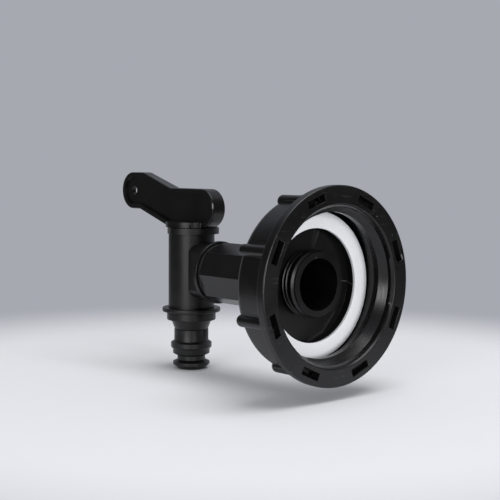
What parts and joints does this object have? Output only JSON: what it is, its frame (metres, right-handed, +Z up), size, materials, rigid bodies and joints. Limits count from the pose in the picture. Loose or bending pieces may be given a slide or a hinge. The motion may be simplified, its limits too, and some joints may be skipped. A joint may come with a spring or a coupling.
{
  "type": "tank tap",
  "caption": "Black moulded plastic tap for a bulk liquid tank: slotted swivel coupling nut with a flat gasket, octagonal shank, quarter-turn lever plug and a click hose nozzle pointing down.",
  "frame": {"origin": "on the coupling nut's axis where its tank thread starts, just inside the mouth", "axes": "+X along the coupling's axis out of its mouth towards the tank, +Z up along the tap's barrel towards the lever"},
  "size_m": [0.1412, 0.0772, 0.0862],
  "materials": {
    "black_polypropylene": "satin moulded",
    "white_foam": "matt closed-cell foam",
    "black_rubber": "matt moulded"
  },
  "bodies": {
    "tap": {"tap_body": "black_polypropylene", "flange_adapter": "black_polypropylene", "flat_gasket": "white_foam", "collar_washer": "black_rubber"},
    "nut": {"coupling_nut": "black_polypropylene"},
    "lever": {"lever_plug": "black_polypropylene", "upper_o_ring": "black_rubber", "lower_o_ring": "black_rubber", "port_seal": "black_rubber"}
  },
  "joints": [
    {"name": "nut_swivel", "type": "hinge", "parent": "tap", "child": "nut", "pos_m": [0, 0, 0], "axis": [1, 0, 0], "continuous": true},
    {"name": "lever_turn", "type": "hinge", "parent": "tap", "child": "lever", "pos_m": [-0.0897, 0, 0], "axis": [0, 0, 1], "range_deg": [-65, 65]}
  ]
}
